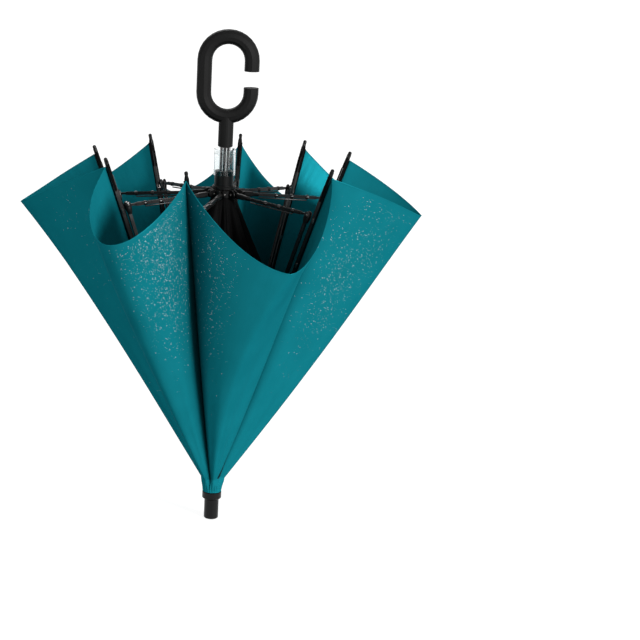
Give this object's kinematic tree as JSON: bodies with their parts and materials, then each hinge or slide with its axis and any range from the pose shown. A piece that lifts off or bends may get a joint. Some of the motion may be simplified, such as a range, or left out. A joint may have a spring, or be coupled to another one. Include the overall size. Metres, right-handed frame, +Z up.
{
  "type": "inverted umbrella",
  "caption": "Inverted umbrella, half open: C-shaped grip, ribs hinged at the crown, runner with folding bars, and gores folded outwards.",
  "frame": {"origin": "centre of the ferrule's flat end", "axes": "+Z up the shaft to the grip, +X to the side where the grip is open, -Y to the front"},
  "size_m": [0.6404, 0.6002, 0.817],
  "materials": {
    "canopy_cloth": "woven, satin",
    "lining_cloth": "woven, matte",
    "hook_patch": "hooks",
    "grip_skin": "soft touch",
    "clear_plastic": "clear",
    "black_plastic": "satin",
    "shaft_paint": "gloss black",
    "frame_steel": "black, half gloss"
  },
  "bodies": {
    "shaft": {"ferrule_tip": "black_plastic", "crown_collar": "black_plastic", "crown_rosette": "canopy_cloth", "crown_notch": "black_plastic", "hinge_wire": "frame_steel", "shaft_tube": "shaft_paint", "c_grip": "grip_skin"},
    "runner": {"runner_tube": "black_plastic", "runner_hub": "black_plastic", "runner_collar": "black_plastic", "clear_sleeve": "clear_plastic", "inner_lining": "lining_cloth"},
    "upper_catch": {"upper_catch": "frame_steel"},
    "lower_catch": {"lower_catch": "frame_steel"},
    "rib_1": {"rib_1": "frame_steel"},
    "outer_bar_1": {"outer_bar_1": "frame_steel"},
    "inner_bar_1": {"inner_bar_1": "frame_steel"},
    "gore_1_near": {"gore_1_near": "canopy_cloth"},
    "gore_1_far": {"gore_1_far": "canopy_cloth"},
    "rib_2": {"rib_2": "frame_steel"},
    "outer_bar_2": {"outer_bar_2": "frame_steel"},
    "inner_bar_2": {"inner_bar_2": "frame_steel"},
    "gore_2_near": {"gore_2_near": "canopy_cloth"},
    "gore_2_far": {"gore_2_far": "canopy_cloth"},
    "rib_3": {"rib_3": "frame_steel"},
    "outer_bar_3": {"outer_bar_3": "frame_steel"},
    "inner_bar_3": {"inner_bar_3": "frame_steel"},
    "gore_3_near": {"gore_3_near": "canopy_cloth"},
    "gore_3_far": {"gore_3_far": "canopy_cloth"},
    "rib_4": {"rib_4": "frame_steel"},
    "outer_bar_4": {"outer_bar_4": "frame_steel"},
    "inner_bar_4": {"inner_bar_4": "frame_steel"},
    "gore_4_near": {"gore_4_near": "canopy_cloth"},
    "gore_4_far": {"gore_4_far": "canopy_cloth"},
    "rib_5": {"rib_5": "frame_steel"},
    "outer_bar_5": {"outer_bar_5": "frame_steel"},
    "inner_bar_5": {"inner_bar_5": "frame_steel"},
    "gore_5_near": {"gore_5_near": "canopy_cloth", "closing_strap": "canopy_cloth", "strap_patch": "hook_patch"},
    "gore_5_far": {"gore_5_far": "canopy_cloth"},
    "rib_6": {"rib_6": "frame_steel"},
    "outer_bar_6": {"outer_bar_6": "frame_steel"},
    "inner_bar_6": {"inner_bar_6": "frame_steel"},
    "gore_6_near": {"gore_6_near": "canopy_cloth"},
    "gore_6_far": {"gore_6_far": "canopy_cloth"},
    "rib_7": {"rib_7": "frame_steel"},
    "outer_bar_7": {"outer_bar_7": "frame_steel"},
    "inner_bar_7": {"inner_bar_7": "frame_steel"},
    "gore_7_near": {"gore_7_near": "canopy_cloth"},
    "gore_7_far": {"gore_7_far": "canopy_cloth"},
    "rib_8": {"rib_8": "frame_steel"},
    "outer_bar_8": {"outer_bar_8": "frame_steel"},
    "inner_bar_8": {"inner_bar_8": "frame_steel"},
    "gore_8_near": {"gore_8_near": "canopy_cloth"},
    "gore_8_far": {"gore_8_far": "canopy_cloth"}
  },
  "joints": [
    {"name": "runner_slide", "type": "slide", "parent": "shaft", "child": "runner", "axis": [0, 0, -1], "range_m": [0, 0.14], "deforming": ["inner_lining"]},
    {"name": "upper_catch_press", "type": "slide", "parent": "shaft", "child": "upper_catch", "axis": [-1, 0, 0], "range_m": [0, 0.0025], "stiffness_N_per_m": 200, "springref_m": -0.002},
    {"name": "lower_catch_press", "type": "slide", "parent": "shaft", "child": "lower_catch", "axis": [-1, 0, 0], "range_m": [0, 0.0025], "stiffness_N_per_m": 200, "springref_m": -0.002},
    {"name": "rib_1_hinge", "type": "hinge", "parent": "shaft", "child": "rib_1", "pos_m": [-0.0007, -0.00797, 0.062], "axis": [0.9331, -0.1908, 0.3048], "range_deg": [0, 37.66]},
    {"name": "outer_bar_1_pivot", "type": "hinge", "parent": "rib_1", "child": "outer_bar_1", "pos_m": [-0.01725, -0.06628, 0.25281], "axis": [-0.9564, 0.2921, 0.0063], "range_deg": [0, 58.42]},
    {"name": "inner_bar_1_pivot", "type": "hinge", "parent": "outer_bar_1", "child": "inner_bar_1", "pos_m": [-0.04565, -0.16554, 0.543], "axis": [-0.9564, 0.2921, 0.0063], "range_deg": [0, 11.65]},
    {"name": "gore_1_seam", "type": "hinge", "parent": "rib_1", "child": "gore_1_near", "pos_m": [0, 0, 0.04026], "axis": [-0.0945, -0.3384, 0.9363], "range_deg": [-46.26, 0]},
    {"name": "gore_1_fold", "type": "hinge", "parent": "gore_1_near", "child": "gore_1_far", "pos_m": [0, 0, 0.04026], "axis": [-0.3629, -0.4627, 0.8088], "range_deg": [0, 105.15]},
    {"name": "rib_2_hinge", "type": "hinge", "parent": "shaft", "child": "rib_2", "pos_m": [-0.00613, -0.00514, 0.062], "axis": [0.5249, -0.7947, 0.3048], "range_deg": [0, 37.66]},
    {"name": "outer_bar_2_pivot", "type": "hinge", "parent": "rib_2", "child": "outer_bar_2", "pos_m": [-0.05906, -0.03467, 0.25281], "axis": [-0.4697, 0.8828, 0.0063], "range_deg": [0, 58.42]},
    {"name": "inner_bar_2_pivot", "type": "hinge", "parent": "outer_bar_2", "child": "inner_bar_2", "pos_m": [-0.14933, -0.08478, 0.543], "axis": [-0.4697, 0.8828, 0.0063], "range_deg": [0, 11.65]},
    {"name": "gore_2_seam", "type": "hinge", "parent": "rib_2", "child": "gore_2_near", "pos_m": [0, 0, 0.04026], "axis": [-0.3061, -0.1724, 0.9363], "range_deg": [-56.72, 0]},
    {"name": "gore_2_fold", "type": "hinge", "parent": "gore_2_near", "child": "gore_2_far", "pos_m": [0, 0, 0.04026], "axis": [-0.5924, -0.1283, 0.7954], "range_deg": [0, 116.39]},
    {"name": "rib_3_hinge", "type": "hinge", "parent": "shaft", "child": "rib_3", "pos_m": [-0.00797, 0.0007, 0.062], "axis": [-0.0872, -0.9962, 0], "range_deg": [0, 35.8]},
    {"name": "outer_bar_3_pivot", "type": "hinge", "parent": "rib_3", "child": "outer_bar_3", "pos_m": [-0.06835, 0.00598, 0.25281], "axis": [0.0872, 0.9962, 0], "range_deg": [0, 58.48]},
    {"name": "inner_bar_3_pivot", "type": "hinge", "parent": "outer_bar_3", "child": "inner_bar_3", "pos_m": [-0.1715, 0.015, 0.5429], "axis": [0.0872, 0.9962, 0], "range_deg": [0, 11.62]},
    {"name": "gore_3_seam", "type": "hinge", "parent": "rib_3", "child": "gore_3_near", "pos_m": [0, 0, 0.04026], "axis": [-0.3502, 0.0306, 0.9362], "range_deg": [-41.6, 0]},
    {"name": "gore_3_fold", "type": "hinge", "parent": "gore_3_near", "child": "gore_3_far", "pos_m": [0, 0, 0.04026], "axis": [-0.5096, 0.2819, 0.8129], "range_deg": [0, 101.45]},
    {"name": "rib_4_hinge", "type": "hinge", "parent": "shaft", "child": "rib_4", "pos_m": [-0.00514, 0.00613, 0.062], "axis": [-0.7828, -0.6162, 0.0872], "range_deg": [0, 35.94]},
    {"name": "outer_bar_4_pivot", "type": "hinge", "parent": "rib_4", "child": "outer_bar_4", "pos_m": [-0.04166, 0.05451, 0.25281], "axis": [0.8015, 0.598, 0.0017], "range_deg": [0, 58.47]},
    {"name": "inner_bar_4_pivot", "type": "hinge", "parent": "outer_bar_4", "child": "inner_bar_4", "pos_m": [-0.10397, 0.13717, 0.54291], "axis": [0.8015, 0.598, 0.0017], "range_deg": [0, 11.63]},
    {"name": "gore_4_seam", "type": "hinge", "parent": "rib_4", "child": "gore_4_near", "pos_m": [0, 0, 0.04026], "axis": [-0.2121, 0.2803, 0.9362], "range_deg": [-45.9, 0]},
    {"name": "gore_4_fold", "type": "hinge", "parent": "gore_4_near", "child": "gore_4_far", "pos_m": [0, 0, 0.04026], "axis": [-0.1536, 0.5697, 0.8074], "range_deg": [0, 105.71]},
    {"name": "rib_5_hinge", "type": "hinge", "parent": "shaft", "child": "rib_5", "pos_m": [0.0007, 0.00797, 0.062], "axis": [-0.9925, 0.1077, 0.0582], "range_deg": [0, 35.86]},
    {"name": "outer_bar_5_pivot", "type": "hinge", "parent": "rib_5", "child": "outer_bar_5", "pos_m": [0.00805, 0.06814, 0.25281], "axis": [0.9922, -0.125, 0.0012], "range_deg": [0, 58.48]},
    {"name": "inner_bar_5_pivot", "type": "hinge", "parent": "outer_bar_5", "child": "inner_bar_5", "pos_m": [0.02066, 0.17089, 0.5429], "axis": [0.9922, -0.125, 0.0012], "range_deg": [0, 11.63]},
    {"name": "gore_5_seam", "type": "hinge", "parent": "rib_5", "child": "gore_5_near", "pos_m": [0, 0, 0.04026], "axis": [0.0424, 0.3489, 0.9362], "range_deg": [-57.03, 0]},
    {"name": "gore_5_fold", "type": "hinge", "parent": "gore_5_near", "child": "gore_5_far", "pos_m": [0, 0, 0.04026], "axis": [0.2397, 0.5596, 0.7933], "range_deg": [0, 117.98]},
    {"name": "rib_6_hinge", "type": "hinge", "parent": "shaft", "child": "rib_6", "pos_m": [0.00613, 0.00514, 0.062], "axis": [-0.6915, 0.6549, -0.3048], "range_deg": [0, 37.66]},
    {"name": "outer_bar_6_pivot", "type": "hinge", "parent": "rib_6", "child": "outer_bar_6", "pos_m": [0.0444, 0.05214, 0.25281], "axis": [0.7878, -0.6158, -0.0063], "range_deg": [0, 58.42]},
    {"name": "inner_bar_6_pivot", "type": "hinge", "parent": "outer_bar_6", "child": "inner_bar_6", "pos_m": [0.10942, 0.13234, 0.543], "axis": [0.7878, -0.6158, -0.0063], "range_deg": [0, 11.65]},
    {"name": "gore_6_seam", "type": "hinge", "parent": "rib_6", "child": "gore_6_near", "pos_m": [0, 0, 0.04026], "axis": [0.223, 0.2715, 0.9363], "range_deg": [-52.16, 0]},
    {"name": "gore_6_fold", "type": "hinge", "parent": "gore_6_near", "child": "gore_6_far", "pos_m": [0, 0, 0.04026], "axis": [0.5077, 0.328, 0.7967], "range_deg": [0, 114.5]},
    {"name": "rib_7_hinge", "type": "hinge", "parent": "shaft", "child": "rib_7", "pos_m": [0.00797, -0.0007, 0.062], "axis": [-0.1111, 0.8476, -0.5189], "range_deg": [0, 42.16]},
    {"name": "outer_bar_7_pivot", "type": "hinge", "parent": "rib_7", "child": "outer_bar_7", "pos_m": [0.06632, 0.01571, 0.2528], "axis": [0.3064, -0.9518, -0.0118], "range_deg": [0, 58.27]},
    {"name": "inner_bar_7_pivot", "type": "hinge", "parent": "outer_bar_7", "child": "inner_bar_7", "pos_m": [0.16487, 0.04383, 0.54327], "axis": [0.3064, -0.9518, -0.0118], "range_deg": [0, 11.7]},
    {"name": "gore_7_seam", "type": "hinge", "parent": "rib_7", "child": "gore_7_near", "pos_m": [0, 0, 0.04026], "axis": [0.3384, 0.0923, 0.9365], "range_deg": [-32.85, 0]},
    {"name": "gore_7_fold", "type": "hinge", "parent": "gore_7_near", "child": "gore_7_far", "pos_m": [0, 0, 0.04026], "axis": [0.5577, -0.114, 0.8221], "range_deg": [0, 94.55]},
    {"name": "rib_8_hinge", "type": "hinge", "parent": "shaft", "child": "rib_8", "pos_m": [0.00514, -0.00613, 0.062], "axis": [0.6421, 0.6922, -0.3295], "range_deg": [0, 38]},
    {"name": "outer_bar_8_pivot", "type": "hinge", "parent": "rib_8", "child": "outer_bar_8", "pos_m": [0.0528, -0.04359, 0.25281], "axis": [-0.6008, -0.7994, -0.0069], "range_deg": [0, 58.41]},
    {"name": "inner_bar_8_pivot", "type": "hinge", "parent": "outer_bar_8", "child": "inner_bar_8", "pos_m": [0.13407, -0.10717, 0.54302], "axis": [-0.6008, -0.7994, -0.0069], "range_deg": [0, 11.65]},
    {"name": "gore_8_seam", "type": "hinge", "parent": "rib_8", "child": "gore_8_near", "pos_m": [0, 0, 0.04026], "axis": [0.2752, -0.2183, 0.9363], "range_deg": [-20.37, 0]},
    {"name": "gore_8_fold", "type": "hinge", "parent": "gore_8_near", "child": "gore_8_far", "pos_m": [0, 0, 0.04026], "axis": [0.1646, -0.5071, 0.846], "range_deg": [0, 80.1]}
  ],
  "couplings": [
    {"joint": "rib_1_hinge", "follows": "runner_slide", "rad_per_m": 4.6949},
    {"joint": "outer_bar_1_pivot", "follows": "runner_slide", "rad_per_m": 7.2829},
    {"joint": "inner_bar_1_pivot", "follows": "runner_slide", "rad_per_m": 1.4519},
    {"joint": "gore_1_seam", "follows": "runner_slide", "rad_per_m": -5.7672},
    {"joint": "gore_1_fold", "follows": "runner_slide", "rad_per_m": 13.109},
    {"joint": "rib_2_hinge", "follows": "runner_slide", "rad_per_m": 4.6949},
    {"joint": "outer_bar_2_pivot", "follows": "runner_slide", "rad_per_m": 7.2829},
    {"joint": "inner_bar_2_pivot", "follows": "runner_slide", "rad_per_m": 1.4519},
    {"joint": "gore_2_seam", "follows": "runner_slide", "rad_per_m": -7.0713},
    {"joint": "gore_2_fold", "follows": "runner_slide", "rad_per_m": 14.509},
    {"joint": "rib_3_hinge", "follows": "runner_slide", "rad_per_m": 4.4631},
    {"joint": "outer_bar_3_pivot", "follows": "runner_slide", "rad_per_m": 7.2901},
    {"joint": "inner_bar_3_pivot", "follows": "runner_slide", "rad_per_m": 1.4492},
    {"joint": "gore_3_seam", "follows": "runner_slide", "rad_per_m": -5.1867},
    {"joint": "gore_3_fold", "follows": "runner_slide", "rad_per_m": 12.647},
    {"joint": "rib_4_hinge", "follows": "runner_slide", "rad_per_m": 4.4807},
    {"joint": "outer_bar_4_pivot", "follows": "runner_slide", "rad_per_m": 7.2896},
    {"joint": "inner_bar_4_pivot", "follows": "runner_slide", "rad_per_m": 1.4494},
    {"joint": "gore_4_seam", "follows": "runner_slide", "rad_per_m": -5.7226},
    {"joint": "gore_4_fold", "follows": "runner_slide", "rad_per_m": 13.179},
    {"joint": "rib_5_hinge", "follows": "runner_slide", "rad_per_m": 4.4709},
    {"joint": "outer_bar_5_pivot", "follows": "runner_slide", "rad_per_m": 7.2899},
    {"joint": "inner_bar_5_pivot", "follows": "runner_slide", "rad_per_m": 1.4493},
    {"joint": "gore_5_seam", "follows": "runner_slide", "rad_per_m": -7.1096},
    {"joint": "gore_5_fold", "follows": "runner_slide", "rad_per_m": 14.708},
    {"joint": "rib_6_hinge", "follows": "runner_slide", "rad_per_m": 4.6949},
    {"joint": "outer_bar_6_pivot", "follows": "runner_slide", "rad_per_m": 7.2829},
    {"joint": "inner_bar_6_pivot", "follows": "runner_slide", "rad_per_m": 1.4519},
    {"joint": "gore_6_seam", "follows": "runner_slide", "rad_per_m": -6.502},
    {"joint": "gore_6_fold", "follows": "runner_slide", "rad_per_m": 14.274},
    {"joint": "rib_7_hinge", "follows": "runner_slide", "rad_per_m": 5.2565},
    {"joint": "outer_bar_7_pivot", "follows": "runner_slide", "rad_per_m": 7.2641},
    {"joint": "inner_bar_7_pivot", "follows": "runner_slide", "rad_per_m": 1.4588},
    {"joint": "gore_7_seam", "follows": "runner_slide", "rad_per_m": -4.0958},
    {"joint": "gore_7_fold", "follows": "runner_slide", "rad_per_m": 11.787},
    {"joint": "rib_8_hinge", "follows": "runner_slide", "rad_per_m": 4.7376},
    {"joint": "outer_bar_8_pivot", "follows": "runner_slide", "rad_per_m": 7.2815},
    {"joint": "inner_bar_8_pivot", "follows": "runner_slide", "rad_per_m": 1.4524},
    {"joint": "gore_8_seam", "follows": "runner_slide", "rad_per_m": -2.5389},
    {"joint": "gore_8_fold", "follows": "runner_slide", "rad_per_m": 9.986}
  ]
}
